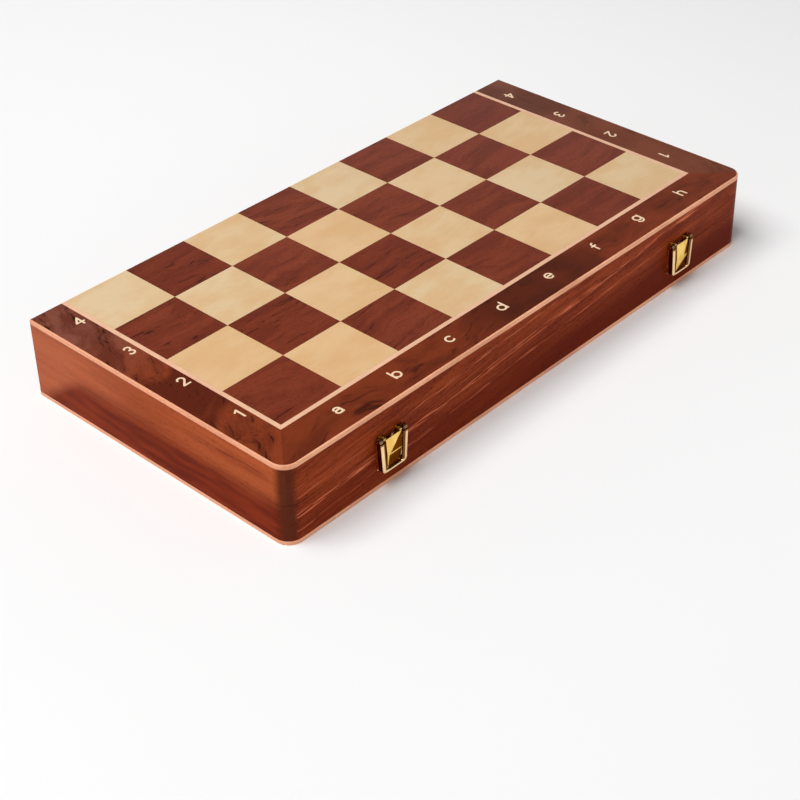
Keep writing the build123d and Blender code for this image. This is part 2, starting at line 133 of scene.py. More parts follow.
panel_lamp = bpy.data.lights.new("panel_lamp", "AREA")
panel_lamp.shape = "RECTANGLE"
panel_lamp.size = 2.0
panel_lamp.size_y = 1.5
panel_lamp.energy = 64.0
lamp_place = Vector((-1.10, 0.16, 2.20))
lamp_aim = Vector((0.0, 0.0, 0.02))
panel_lamp_stand = bpy.data.objects.new("panel_lamp_stand", panel_lamp)
panel_lamp_stand.location = lamp_place
panel_lamp_stand.rotation_euler = (lamp_aim - lamp_place).to_track_quat("-Z", "Y").to_euler()
bpy.context.scene.collection.objects.link(panel_lamp_stand)

lens = bpy.data.cameras.new("lens")
lens.lens = 78.997
lens.sensor_width = 36.0
lens.shift_x = -0.04988
lens.shift_y = -0.10630
lens.clip_start = 0.05
viewer = bpy.data.objects.new("viewer", lens)
viewer.location = (-0.62504, -0.58384, 0.56310)
viewer.rotation_euler = (0.987465, 0.004891, -0.842160)
bpy.context.scene.collection.objects.link(viewer)
bpy.context.scene.camera = viewer
bpy.context.scene.view_settings.view_transform = "Standard"


# ---- Plywood panels ----
# Each outer face stands on a thin three-ply panel glued on the walls. Only its raw edge shows, as
# a striped line along the hinge side.
def new_group(name, inputs, outputs):
    """A shader node group with named sockets; gives its tree, its input sockets and its output node."""
    group = bpy.data.node_groups.new(name, "ShaderNodeTree")
    for in_out, sockets in (("INPUT", inputs), ("OUTPUT", outputs)):
        for socket, kind in sockets.items():
            group.interface.new_socket(name=socket, in_out=in_out, socket_type="NodeSocket" + kind)
    return group, group.nodes.new("NodeGroupInput").outputs, group.nodes.new("NodeGroupOutput")


def drawn_out(tree, axes, *shares):
    """Coordinates shortened along X, so that what is made with them is drawn out along the grain."""
    along = axes["X"]
    for share in shares:
        along = reckon(tree, "DIVIDE", along, share)
    return add_node(tree, "CombineXYZ", {"X": along, "Y": axes["Y"], "Z": axes["Z"]}).outputs[0]


wood_figure, given, result = new_group(
    "wood_figure",
    {
        "Place": "Vector",
        "Ground": "Color",
        "Dark": "Color",
        "Vein": "Color",
        "Cloud size": "Float",
        "Streak width": "Float",
        "Stretch": "Float",
        "Wander": "Float",
        "Dark share": "Float",
        "Vein share": "Float",
        "Pores": "Float",
        "Fibre": "Float",
    },
    {"Colour": "Color", "Relief": "Float"},
)
tree = wood_figure
drift = add_node(tree, "TexNoise", {"Vector": given["Place"], "Scale": 24.0, "Detail": 2.0})
drift = drift.outputs["Color"]
drift = add_node(tree, "VectorMath", {0: drift, 1: (0.5, 0.5, 0.5)}, operation="SUBTRACT").outputs[0]
drift = add_node(tree, "VectorMath", {0: drift, "Scale": given["Wander"]}, operation="SCALE").outputs[0]
bent = add_node(tree, "VectorMath", {0: given["Place"], 1: drift}, operation="ADD").outputs[0]
bent = split(tree, bent)
soft = drawn_out(tree, bent, given["Stretch"])
fineness = reckon(tree, "DIVIDE", 1.0, given["Cloud size"])
cloud = add_node(tree, "TexNoise", {"Vector": soft, "Scale": fineness, "Detail": 3.0, "Roughness": 0.55})
cloud = cloud.outputs["Fac"]
long = drawn_out(tree, bent, given["Stretch"], 2.5)
fineness = reckon(tree, "DIVIDE", 0.5, given["Streak width"])
lines = {"Vector": long, "Scale": fineness, "Detail": 2.5, "Roughness": 0.6, "Distortion": 0.4}
streak = add_node(tree, "TexNoise", lines).outputs["Fac"]
streak = reckon(tree, "MULTIPLY", ease(tree, streak, 0.55, 0.69), ease(tree, cloud, 0.42, 0.58))
strand = drawn_out(tree, bent, given["Stretch"], 6.0)
fibre = add_node(tree, "TexNoise", {"Vector": strand, "Scale": 1300.0, "Detail": 2.0}).outputs["Fac"]
dash = drawn_out(tree, bent, 4.0)
pore = add_node(tree, "TexNoise", {"Vector": dash, "Scale": 1500.0, "Detail": 1.0}).outputs["Fac"]
pore = reckon(tree, "MULTIPLY", ease(tree, pore, 0.56, 0.70), given["Pores"])
darkness = reckon(tree, "MULTIPLY", ease(tree, cloud, 0.36, 0.64), given["Dark share"])
colour = stain(tree, darkness, given["Ground"], given["Dark"])
colour = stain(tree, reckon(tree, "MULTIPLY", streak, given["Vein share"]), colour, given["Vein"])
colour = stain(tree, reckon(tree, "MULTIPLY", pore, 0.7), colour, given["Vein"])
brightness = reckon(tree, "SUBTRACT", fibre, 0.5)
brightness = reckon(tree, "MULTIPLY_ADD", brightness, given["Fibre"], 1.0)
colour = add_node(tree, "VectorMath", {0: colour, "Scale": brightness}, operation="SCALE").outputs[0]
relief = reckon(tree, "SUBTRACT", fibre, reckon(tree, "MULTIPLY", pore, 1.5))
tree.links.new(colour, result.inputs["Colour"])
tree.links.new(relief, result.inputs["Relief"])


def use_group(tree, group, **values):
    """Puts a group into a material; the values are its sockets by name, such as cloud_size."""
    sockets = {name.replace("_", " ").capitalize(): value for name, value in values.items()}
    return add_node(tree, "Group", sockets, node_tree=group).outputs


def lacquer(tree, shader, colour, relief, gloss, depth, shine=0.5):
    """Clear lacquer: even gloss, a little duller on the raised fibres, over a nearly filled grain."""
    roughness = reckon(tree, "MULTIPLY_ADD", relief, 0.08, gloss - 0.04)
    bump = add_node(tree, "Bump", {"Strength": 0.5, "Distance": depth, "Height": relief})
    tree.links.new(colour, shader.inputs["Base Color"])
    tree.links.new(roughness, shader.inputs["Roughness"])
    tree.links.new(bump.outputs[0], shader.inputs["Normal"])
    shader.inputs["Specular IOR Level"].default_value = shine


def grain_along(tree, direction, turn=0.0):
    """Object coordinates turned so that X runs along the grain, which lies along x or y."""
    turns = {"x": (0.0, turn, 0.0), "y": (0.0, 0.0, turn - math.pi / 2)}
    spot = add_node(tree, "TexCoord").outputs["Object"]
    return add_node(tree, "Mapping", {"Vector": spot, "Rotation": turns[direction]}).outputs[0]


def dress(material, *names):
    """Gives solid nodes their finish."""
    for name in names:
        nodes[name].data.materials.clear()
        nodes[name].data.materials.append(material)


seam_height = 0.0246
core_height = 0.0230  # from the seam to the middle ply of either panel
plywood, tree, shader = new_material("plywood")
place = grain_along(tree, "x")
wood = use_group(
    tree,
    wood_figure,
    place=place,
    ground=tone(196, 148, 102),
    dark=tone(164, 116, 76),
    vein=tone(120, 80, 50),
    cloud_size=0.006,
    streak_width=0.0008,
    stretch=8.0,
    wander=0.002,
    dark_share=0.6,
    vein_share=0.3,
    pores=0.4,
    fibre=0.4,
)
from_seam = reckon(tree, "ABSOLUTE", reckon(tree, "SUBTRACT", split(tree, place)["Z"], seam_height))
from_core = reckon(tree, "ABSOLUTE", reckon(tree, "SUBTRACT", from_seam, core_height))
core = reckon(tree, "MULTIPLY", ease(tree, from_core, 0.00040, 0.00028), 0.6)
colour = stain(tree, core, wood["Colour"], tone(104, 66, 40))
lacquer(tree, shader, colour, wood["Relief"], gloss=0.6, depth=0.00003)
dress(plywood, "lid_panel", "base_panel")


# ---- Edging ----
# A light strip of solid wood bent round the front corners, glued to the edge of panel and veneers
# and rounded over flush with both. At the right-hand end a thin line along its top is darker.
edging_wood, tree, shader = new_material("edging_wood")
coordinates = add_node(tree, "TexCoord").outputs
axes = split(tree, coordinates["Object"])
at_end = ease(tree, reckon(tree, "ABSOLUTE", axes["X"]), 0.184, 0.190)
place = add_node(
    tree, "Mix", {0: at_end, 4: grain_along(tree, "x"), 5: grain_along(tree, "y")}, data_type="VECTOR"
).outputs[1]
wood = use_group(
    tree,
    wood_figure,
    place=place,
    # Painted light: the front run is painted lighter than the ends, to make up for the light that it lacks
    ground=stain(tree, at_end, tone(250, 182, 142), tone(226, 160, 126)),
    dark=tone(216, 144, 110),
    vein=tone(176, 104, 74),
    cloud_size=0.005,
    streak_width=0.0006,
    stretch=8.0,
    wander=0.001,
    dark_share=0.6,
    vein_share=0.3,
    pores=0.4,
    fibre=0.3,
)
dark_line = ease(tree, axes["X"], 0.1908, 0.1914)
upright = ease(tree, split(tree, coordinates["Normal"])["Z"], 0.3, 0.6)
dark_line = reckon(tree, "MULTIPLY", dark_line, upright)
colour = stain(tree, dark_line, wood["Colour"], tone(104, 46, 26))
lacquer(tree, shader, colour, wood["Relief"], gloss=0.36, depth=0.00001, shine=0.1)
dress(edging_wood, "lid_edging", "base_edging")


# ---- Squares ----
# Sixteen dark and sixteen pale veneer squares on each half, cut from different places of the leaf,
# so each has its own shade and its own run of grain.
square_side = 0.042
field_corner = (-0.169, -0.06995, -0.01)
face_layer = 0.0333  # puts the lower and the upper face in different layers of cells
chance_shift = (0.37, 0.61, 0.29)  # settles which shade falls to which square
own_square, given, result = new_group(
    "own_square", {"Place": "Vector"}, {"Cut": "Vector", "Shade": "Float", "Second shade": "Float"}
)
tree = own_square
cell_size = (square_side, square_side, face_layer)
cell = add_node(tree, "VectorMath", {0: given["Place"], 1: field_corner}, operation="SUBTRACT").outputs[0]
cell = add_node(tree, "VectorMath", {0: cell, 1: cell_size}, operation="DIVIDE").outputs[0]
cell = add_node(tree, "VectorMath", {0: cell}, operation="FLOOR").outputs[0]
cell = add_node(tree, "VectorMath", {0: cell, 1: chance_shift}, operation="ADD").outputs[0]
chance = add_node(tree, "TexWhiteNoise", {"Vector": cell}, noise_dimensions="3D").outputs["Color"]
chances = split(tree, chance)
angle = reckon(tree, "MULTIPLY", reckon(tree, "SUBTRACT", chances["X"], 0.5), 0.3)
turned = add_node(tree, "VectorRotate", {"Vector": given["Place"], "Angle": angle}, rotation_type="Z_AXIS")
cut = add_node(tree, "VectorMath", {0: turned.outputs[0], 1: chance}, operation="ADD").outputs[0]
tree.links.new(cut, result.inputs["Cut"])
tree.links.new(chances["Y"], result.inputs["Shade"])
tree.links.new(chances["Z"], result.inputs["Second shade"])


dark_veneer, tree, shader = new_material("dark_veneer")
square = use_group(tree, own_square, place=grain_along(tree, "x"))
streaks = reckon(tree, "MULTIPLY_ADD", square["Second shade"], 0.8, 0.5)
left_to_right = split(tree, add_node(tree, "TexCoord").outputs["Object"])["X"]
plainness = ease(tree, left_to_right, -0.10, 0.12)
streaks = reckon(tree, "MULTIPLY", streaks, reckon(tree, "MULTIPLY_ADD", plainness, -0.75, 1.0))
wood = use_group(
    tree,
    wood_figure,
    place=square["Cut"],
    ground=stain(tree, square["Shade"], tone(120, 48, 26), tone(130, 57, 34)),
    dark=tone(100, 36, 19),
    vein=tone(62, 20, 11),
    cloud_size=0.009,
    streak_width=0.0010,
    stretch=7.0,
    wander=0.018,
    dark_share=0.6,
    vein_share=streaks,
    pores=0.45,
    fibre=0.5,
)
lacquer(tree, shader, wood["Colour"], wood["Relief"], gloss=0.14, depth=0.000004, shine=0.4)
dress(dark_veneer, "lid_dark_squares", "base_dark_squares")

light_veneer, tree, shader = new_material("light_veneer")
square = use_group(tree, own_square, place=grain_along(tree, "x"))
wood = use_group(
    tree,
    wood_figure,
    place=square["Cut"],
    ground=stain(tree, square["Shade"], tone(228, 188, 140), tone(224, 197, 156)),
    dark=tone(216, 168, 114),
    vein=tone(208, 154, 104),
    cloud_size=0.021,
    streak_width=0.0014,
    stretch=1.8,
    wander=0.010,
    dark_share=0.5,
    vein_share=0.10,
    pores=0.03,
    fibre=0.10,
)
lacquer(tree, shader, wood["Colour"], wood["Relief"], gloss=0.16, depth=0.000003)
dress(light_veneer, "lid_light_squares", "base_light_squares")


# ---- Stringing ----
# Three pale strips mitred round the playing field, let into the veneer.
stringing_wood, tree, shader = new_material("stringing_wood")
wood = use_group(
    tree,
    wood_figure,
    place=grain_along(tree, "x"),
    ground=tone(238, 190, 157),
    dark=tone(228, 174, 140),
    vein=tone(200, 140, 108),
    cloud_size=0.008,
    streak_width=0.0008,
    stretch=5.0,
    wander=0.001,
    dark_share=0.5,
    vein_share=0.15,
    pores=0.15,
    fibre=0.15,
)
lacquer(tree, shader, wood["Colour"], wood["Relief"], gloss=0.17, depth=0.000005)
dress(stringing_wood, "lid_stringing", "base_stringing")


# ---- Letters and numbers ----
# Pale veneer letters a to h and numbers let into the border, as on any chess board.
lettering_wood, tree, shader = new_material("lettering_wood")
wood = use_group(
    tree,
    wood_figure,
    place=grain_along(tree, "x"),
    ground=tone(248, 218, 182),
    dark=tone(238, 202, 162),
    vein=tone(210, 166, 126),
    cloud_size=0.008,
    streak_width=0.0008,
    stretch=4.0,
    wander=0.001,
    dark_share=0.5,
    vein_share=0.1,
    pores=0.1,
    fibre=0.1,
)
lacquer(tree, shader, wood["Colour"], wood["Relief"], gloss=0.17, depth=0.000005)
dress(lettering_wood, "lid_letters", "lid_numbers", "base_letters", "base_numbers")


# ---- Border ----
# Three mitred strips of dark, strongly figured veneer. Smoky patches lie across the middle of the
# front strip and of the left strip, with short swirling dark veins at their ends.
waviness = 0.12
smoky_patch, given, result = new_group(
    "smoky_patch", {"Place": "Vector", "Distance": "Float", "Reach": "Float"}, {"Share": "Float"}
)
tree = smoky_patch
broad = {"Vector": given["Place"], "Scale": 24.0, "Detail": 2.0, "Distortion": 0.8}
wave = add_node(tree, "TexNoise", broad).outputs["Fac"]
away = reckon(tree, "SUBTRACT", given["Distance"], waviness / 2)
away = reckon(tree, "MULTIPLY_ADD", wave, waviness, away)
share = ease(tree, away, given["Reach"], reckon(tree, "MULTIPLY", given["Reach"], 0.3))
tree.links.new(reckon(tree, "MULTIPLY", share, 0.9), result.inputs["Share"])


def border_wood(name, direction, turn, ground, far_painted_sheen, smoke, middle, reach, **figure):
    """One strip of the border leaf, with its own run of figure, its own smoky patch and a painted sheen
    towards the back.
    """
    material, tree, shader = new_material(name)
    place = grain_along(tree, direction, turn)
    axes = split(tree, add_node(tree, "TexCoord").outputs["Object"])
    away = reckon(tree, "ABSOLUTE", reckon(tree, "SUBTRACT", axes[direction.upper()], middle))
    patch = use_group(tree, smoky_patch, place=place, distance=away, reach=reach)["Share"]
    # Painted sheen: the strip turns lighter and greyer towards the back
    ground = stain(tree, ease(tree, axes["Y"], 0.0, 0.07), ground, far_painted_sheen)
    ground = stain(tree, patch, ground, smoke)
    wood = use_group(tree, wood_figure, place=place, ground=ground, **figure)
    lacquer(tree, shader, wood["Colour"], wood["Relief"], gloss=0.14, depth=0.000004, shine=0.18)
    return material


front_border = border_wood(
    "front_border",
    direction="x",
    turn=0.0,
    ground=tone(124, 52, 26),
    far_painted_sheen=tone(120, 56, 34),
    smoke=tone(70, 26, 13),
    middle=0.012,
    reach=0.058,
    dark=tone(92, 36, 18),
    vein=tone(48, 17, 9),
    cloud_size=0.013,
    streak_width=0.0024,
    stretch=3.0,
    wander=0.034,
    dark_share=0.75,
    vein_share=0.7,
    pores=0.12,
    fibre=0.2,
)
left_border = border_wood(
    "left_border",
    direction="y",
    turn=0.45,
    ground=tone(134, 58, 30),
    far_painted_sheen=tone(128, 72, 56),
    smoke=tone(84, 29, 15),
    middle=-0.014,
    reach=0.024,
    dark=tone(90, 34, 18),
    vein=tone(40, 13, 8),
    cloud_size=0.011,
    streak_width=0.0013,
    stretch=3.4,
    wander=0.030,
    dark_share=0.75,
    vein_share=1.0,
    pores=0.30,
    fibre=0.3,
)
right_border = border_wood(
    "right_border",
    direction="y",
    turn=0.2,
    ground=tone(122, 64, 42),
    far_painted_sheen=tone(120, 68, 50),
    smoke=tone(98, 52, 36),
    middle=0.060,
    reach=0.040,
    dark=tone(100, 48, 30),
    vein=tone(62, 28, 18),
    cloud_size=0.018,
    streak_width=0.0024,
    stretch=2.6,
    wander=0.024,
    dark_share=0.5,
    vein_share=0.4,
    pores=0.10,
    fibre=0.2,
)
dress(front_border, "lid_border_front", "base_border_front")
dress(left_border, "lid_border_left", "base_border_left")
dress(right_border, "lid_border_right", "base_border_right")


# ---- Walls ----
# Four mitred boards of red-brown wood in each half. Lid and base are sawn from one glued box, so the
# grain runs across the seam. A painted dark reflection darkens the rounded front corners.
box_end = 0.193
box_front = -0.09695
# Painted dark reflection along the rounded front corners, near the outer faces
corner_painted_reflection, given, result = new_group(
    "corner_painted_reflection", {"Place": "Vector", "Colour": "Color"}, {"Colour": "Color"}
)
tree = corner_painted_reflection
axes = split(tree, given["Place"])
inward_x = reckon(tree, "SUBTRACT", box_end, reckon(tree, "ABSOLUTE", axes["X"]))
inward_y = reckon(tree, "SUBTRACT", axes["Y"], box_front)
from_mitre = reckon(tree, "ABSOLUTE", reckon(tree, "SUBTRACT", inward_x, inward_y))
near_face = ease(tree, reckon(tree, "MINIMUM", inward_x, inward_y), 0.0045, 0.003)
painted_corner_reflection = reckon(tree, "MULTIPLY", ease(tree, from_mitre, 0.0095, 0.0030), near_face)
painted_corner_reflection = reckon(tree, "MULTIPLY", painted_corner_reflection, 0.9)
tree.links.new(stain(tree, painted_corner_reflection, given["Colour"], tone(84, 38, 24)), result.inputs["Colour"])


def wall_wood(name, direction, turn, **figure):
    """The wood of one board, which shows above and below the seam, and its place along the grain."""
    material, tree, shader = new_material(name)
    place = grain_along(tree, direction, turn)
    return material, tree, shader, place, use_group(tree, wood_figure, place=place, **figure)


def finish_wall(tree, shader, colour, relief):
    """Painted dark reflection on the rounded corner, and satin lacquer."""
    spot = add_node(tree, "TexCoord").outputs["Object"]
    colour = use_group(tree, corner_painted_reflection, place=spot, colour=colour)["Colour"]
    lacquer(tree, shader, colour, relief, gloss=0.34, depth=0.00002, shine=0.02)


front_slope = 0.0846  # the rise of the front board's grain along its length
front_wall, tree, shader, place, wood = wall_wood(
    "front_wall",
    "x",
    front_slope,
    ground=tone(152, 64, 30),
    dark=tone(120, 42, 15),
    vein=tone(70, 18, 5),
    cloud_size=0.009,
    streak_width=0.0007,
    stretch=7.0,
    wander=0.003,
    dark_share=0.75,
    vein_share=0.6,
    pores=0.7,
    fibre=0.6,
)
axes = split(tree, add_node(tree, "TexCoord").outputs["Object"])
drawn = add_node(tree, "Mapping", {"Vector": place, "Scale": (0.035, 1.0, 1.0)}).outputs[0]
thread = add_node(tree, "TexNoise", {"Vector": drawn, "Scale": 1700.0, "Detail": 1.0}).outputs["Fac"]
thread = ease(tree, thread, 0.50, 0.60)
fine = add_node(tree, "TexNoise", {"Vector": drawn, "Scale": 620.0, "Detail": 2.0}).outputs["Fac"]
fine = reckon(tree, "MULTIPLY", ease(tree, fine, 0.49, 0.60), 0.42)
# Painted shade: the front board is darker towards the bottom and towards the right
low = ease(tree, axes["Z"], 0.034, 0.012)
low = reckon(tree, "MULTIPLY", low, ease(tree, axes["X"], -0.34, 0.06))
colour = stain(tree, reckon(tree, "MULTIPLY", low, 0.85), wood["Colour"], tone(98, 24, 2))
colour = stain(tree, fine, colour, tone(96, 28, 10))
# Three pale streaks follow the grain, on the outer face only: height, spread and strength of each
at_face = ease(tree, axes["Y"], box_front + 0.00095, box_front + 0.00035)
level = reckon(tree, "MULTIPLY_ADD", axes["X"], -front_slope, axes["Z"])
pale_streaks = ((0.03280, 0.0022, 0.75), (0.04350, 0.0014, 0.45), (0.02350, 0.0012, 0.35))
for middle, spread, share in pale_streaks:
    off = reckon(tree, "ABSOLUTE", reckon(tree, "SUBTRACT", level, middle))
    streak = reckon(tree, "MULTIPLY", thread, ease(tree, off, spread, spread * 0.3))
    streak = reckon(tree, "MULTIPLY", streak, at_face)
    colour = stain(tree, reckon(tree, "MULTIPLY", streak, share), colour, tone(236, 128, 88))
finish_wall(tree, shader, colour, wood["Relief"])

plain_board = {
    "cloud_size": 0.010,
    "streak_width": 0.0009,
    "stretch": 8.0,
    "wander": 0.004,
    "dark_share": 0.75,
    "vein_share": 0.5,
    "pores": 0.45,
    "fibre": 0.4,
}
left_wall, tree, shader, place, wood = wall_wood(
    "left_wall",
    "y",
    0.0,
    ground=tone(166, 80, 42),
    dark=tone(140, 60, 27),
    vein=tone(92, 30, 10),
    **plain_board,
)
# Painted dark reflection low down on its front part, and a painted paler sheen at its back end
axes = split(tree, add_node(tree, "TexCoord").outputs["Object"])
low = ease(tree, axes["Z"], 0.0340, 0.0170)
front_part = ease(tree, reckon(tree, "MULTIPLY_ADD", axes["Z"], 1.36, axes["Y"]), 0.103, 0.088)
shade = reckon(tree, "MULTIPLY", reckon(tree, "MULTIPLY", low, front_part), 0.9)
drawn = add_node(tree, "Mapping", {"Vector": place, "Scale": (0.12, 1.0, 1.0)}).outputs[0]
band = add_node(tree, "TexNoise", {"Vector": drawn, "Scale": 260.0, "Detail": 3.0}).outputs["Fac"]
# The colour of the painted dark reflection, streaked along the grain
deep = stain(tree, ease(tree, band, 0.35, 0.65), tone(88, 20, 2), tone(118, 36, 8))
painted_back_sheen = reckon(tree, "MULTIPLY", ease(tree, axes["Y"], -0.02, 0.09), 0.45)
colour = stain(tree, painted_back_sheen, wood["Colour"], tone(184, 104, 76))
finish_wall(tree, shader, stain(tree, shade, colour, deep), wood["Relief"])

right_wall, tree, shader, place, wood = wall_wood(
    "right_wall",
    "y",
    0.05,
    ground=tone(166, 80, 50),
    dark=tone(138, 60, 34),
    vein=tone(96, 36, 20),
    **plain_board,
)
finish_wall(tree, shader, wood["Colour"], wood["Relief"])

back_wall, tree, shader, place, wood = wall_wood(
    "back_wall",
    "x",
    -0.03,
    ground=tone(158, 72, 44),
    dark=tone(130, 52, 30),
    vein=tone(88, 32, 18),
    **plain_board,
)
finish_wall(tree, shader, wood["Colour"], wood["Relief"])
dress(front_wall, "lid_front_wall", "base_front_wall")
dress(left_wall, "lid_left_wall", "base_left_wall")
dress(right_wall, "lid_right_wall", "base_right_wall")
dress(back_wall, "lid_back_wall", "base_back_wall")


# ---- Felt lining ----
# Thin dark green felt glued on the panel and round the walls of both trays.
felt, tree, shader = new_material("felt")
spot = add_node(tree, "TexCoord").outputs["Object"]
nap = add_node(tree, "TexNoise", {"Vector": spot, "Scale": 1800.0, "Detail": 3.0}).outputs["Fac"]
brushed = add_node(tree, "TexNoise", {"Vector": spot, "Scale": 40.0, "Detail": 2.0}).outputs["Fac"]
colour = stain(tree, ease(tree, nap, 0.3, 0.7), tone(26, 62, 42), tone(44, 92, 64))
colour = stain(tree, reckon(tree, "MULTIPLY", brushed, 0.4), colour, tone(30, 70, 50))
bump = add_node(tree, "Bump", {"Strength": 0.8, "Distance": 0.0002, "Height": nap})
tree.links.new(colour, shader.inputs["Base Color"])
tree.links.new(bump.outputs[0], shader.inputs["Normal"])
shader.inputs["Roughness"].default_value = 0.95
shader.inputs["Specular IOR Level"].default_value = 0.15
shader.inputs["Sheen Weight"].default_value = 0.4
shader.inputs["Sheen Roughness"].default_value = 0.5
dress(felt, "lid_floor_felt", "lid_wall_felt", "base_floor_felt", "base_wall_felt")


# ---- Hinges ----
# Two brass butt hinges let into the rims at the back: a leaf on each half, a steel pin through the
# knuckles and two slotted countersunk screws in each leaf.
tarnish, given, result = new_group(
    "tarnish",
    {
        "Place": "Vector",
        "Pale": "Color",
        "Deep": "Color",
        "Fineness": "Float",
        "Roughness": "Float",
        "Unevenness": "Float",
    },
    {"Colour": "Color", "Roughness": "Float", "Cloud": "Float", "Marks": "Float"},
)
tree = tarnish
cloud = add_node(tree, "TexNoise", {"Vector": given["Place"], "Scale": given["Fineness"], "Detail": 3.0})
cloud = cloud.outputs["Fac"]
colour = stain(tree, ease(tree, cloud, 0.3, 0.75), given["Pale"], given["Deep"])
least = reckon(tree, "MULTIPLY_ADD", given["Unevenness"], -0.5, given["Roughness"])
roughness = reckon(tree, "MULTIPLY_ADD", cloud, given["Unevenness"], least)
rubbed = add_node(tree, "Mapping", {"Vector": given["Place"], "Scale": (0.15, 1.0, 1.0)}).outputs[0]
marks = add_node(tree, "TexNoise", {"Vector": rubbed, "Scale": 2600.0, "Detail": 2.0}).outputs["Fac"]
tree.links.new(colour, result.inputs["Colour"])
tree.links.new(roughness, result.inputs["Roughness"])
tree.links.new(cloud, result.inputs["Cloud"])
tree.links.new(marks, result.inputs["Marks"])


def bare_metal(tree, shader, colour, roughness, height, strength):
    """Metal with its colour and gloss, and a surface that is barely uneven."""
    bump = add_node(tree, "Bump", {"Strength": strength, "Distance": 0.00001, "Height": height})
    tree.links.new(colour, shader.inputs["Base Color"])
    tree.links.new(roughness, shader.inputs["Roughness"])
    tree.links.new(bump.outputs[0], shader.inputs["Normal"])
    shader.inputs["Metallic"].default_value = 1.0


def metal(name, pale, deep, roughness, scratch):
    """Plated or drawn metal: faint tarnish clouds and fine rubbing marks."""
    material, tree, shader = new_material(name)
    spot = add_node(tree, "TexCoord").outputs["Object"]
    skin = use_group(
        tree,
        tarnish,
        place=spot,
        pale=pale,
        deep=deep,
        fineness=220.0,
        roughness=roughness,
        unevenness=0.12,
    )
    bare_metal(tree, shader, skin["Colour"], skin["Roughness"], skin["Marks"], scratch)
    return material


hinge_brass = metal("hinge_brass", tone(214, 180, 108), tone(186, 148, 82), roughness=0.30, scratch=0.6)
pin_steel = metal("pin_steel", tone(196, 194, 190), tone(160, 156, 150), roughness=0.32, scratch=0.5)
dress(
    hinge_brass,
    "lid_hinge_leaf_left",
    "lid_hinge_leaf_right",
    "base_hinge_leaf_left",
    "base_hinge_leaf_right",
    "lid_hinge_screws",
    "base_hinge_screws",
)
dress(pin_steel, "hinge_pin_left", "hinge_pin_right")


# ---- Latches ----
# Two latches of bright brass-plated sheet. A hasp turns on two ears of the lid's plate and springs
# over a catch on the base's plate; small round-headed nails hold both plates.
latch_brass = metal("latch_brass", tone(250, 214, 140), tone(232, 186, 104), roughness=0.16, scratch=0.3)
dress(
    latch_brass,
    "lid_latch_plate_left",
    "lid_latch_plate_right",
    "catch_plate_left",
    "catch_plate_right",
    "latch_pins_left",
    "latch_pins_right",
    "lid_latch_nails",
    "base_latch_nails",
)

left_latch = -0.1223
right_latch = 0.1257
half_apart = (right_latch - left_latch) / 2
# Heights on a hasp are from the seam, depths are out from the front wall
pan_top = 0.0062
pan_foot = -0.0128
pan_half_top = 0.0101
pan_half_foot = 0.0088
taper = (pan_half_top - pan_half_foot) / (pan_top - pan_foot)
foot_rounding = 0.0024
pan_back = 0.0010
pan_front = 0.0047
sheet = 0.00045
rail = 0.0034
lip = 0.0014
shoulder_rounding = 0.0014
turned_back = 0.0009
pivot_up = 0.0069
pivot_out = 0.0023
curl_middle = pan_half_top - rail / 2 + 0.0001
curl_width = rail - 0.0003
curl_radius = 0.0016
pin_radius = 0.00067
strap_half = rail / 2 - 0.0004
strap = (pan_top - 0.0014, 0.0036), (pivot_up + 0.0004, 0.0041)
ridge = (-0.0035, pan_foot, pan_back), (0.0035, pan_foot + 0.0011, pan_back + 0.0006)
flap = (-0.0056, pan_foot + 0.0008, 0.0032), (0.0056, pan_foot + 0.0025, 0.0036)
tongue_gap = 0.0009
tongue_rounding = 0.00018
fold_up = -0.0026
tongue_foot = (pan_foot + lip - 0.0002, 0.0037)
tongue_fold = (fold_up, 0.0044)
tongue_top = (0.0073, 0.0040)
hair = 0.000001  # what is nearer than this lies in the same place


def on_hasp(tree, spot):
    """Where a point is on its hasp: across from the middle, up from the seam and out from the wall."""
    axes = split(tree, spot)
    across = reckon(tree, "SUBTRACT", axes["X"], left_latch)
    across = reckon(tree, "WRAP", across, half_apart, -half_apart)
    up = reckon(tree, "SUBTRACT", axes["Z"], seam_height)
    return across, up, reckon(tree, "SUBTRACT", box_front, axes["Y"])


def plating(tree, spot, pale, deep, roughness=0.14):
    """The hasps' bright plating, a little cloudy."""
    return use_group(
        tree,
        tarnish,
        place=spot,
        pale=pale,
        deep=deep,
        fineness=260.0,
        roughness=roughness,
        unevenness=0.1,
    )


# Rails and lip are bright; the rails' inner slopes, the pan's sides and the curls get a painted dark
# reflection
hasp_brass, tree, shader = new_material("hasp_brass")
coordinates = add_node(tree, "TexCoord").outputs
across, up, out = on_hasp(tree, coordinates["Object"])
from_middle = reckon(tree, "MULTIPLY_ADD", up, -taper, reckon(tree, "ABSOLUTE", across))
above_lip = ease(tree, up, -0.0112, -0.0108)
inside = reckon(tree, "MULTIPLY", ease(tree, from_middle, 0.0079, 0.0074), above_lip)
sideways = reckon(tree, "ABSOLUTE", split(tree, coordinates["Normal"])["X"])
side = reckon(tree, "MULTIPLY", ease(tree, sideways, 0.72, 0.90), ease(tree, out, 0.0014, 0.0018))
curl = reckon(tree, "MULTIPLY", ease(tree, up, 0.0050, 0.0054), 0.75)
share = reckon(tree, "MULTIPLY", reckon(tree, "MAXIMUM", inside, side), 0.95)
share = reckon(tree, "MAXIMUM", share, curl)
skin = plating(tree, coordinates["Object"], tone(255, 226, 178), tone(255, 212, 158))
# Painted dark reflection where the share is high
colour = stain(tree, share, skin["Colour"], tone(96, 48, 16))
bare_metal(tree, shader, colour, skin["Roughness"], skin["Cloud"], 0.3)
shader.inputs["Specular Tint"].default_value = (0.75, 0.5, 0.3, 1.0)


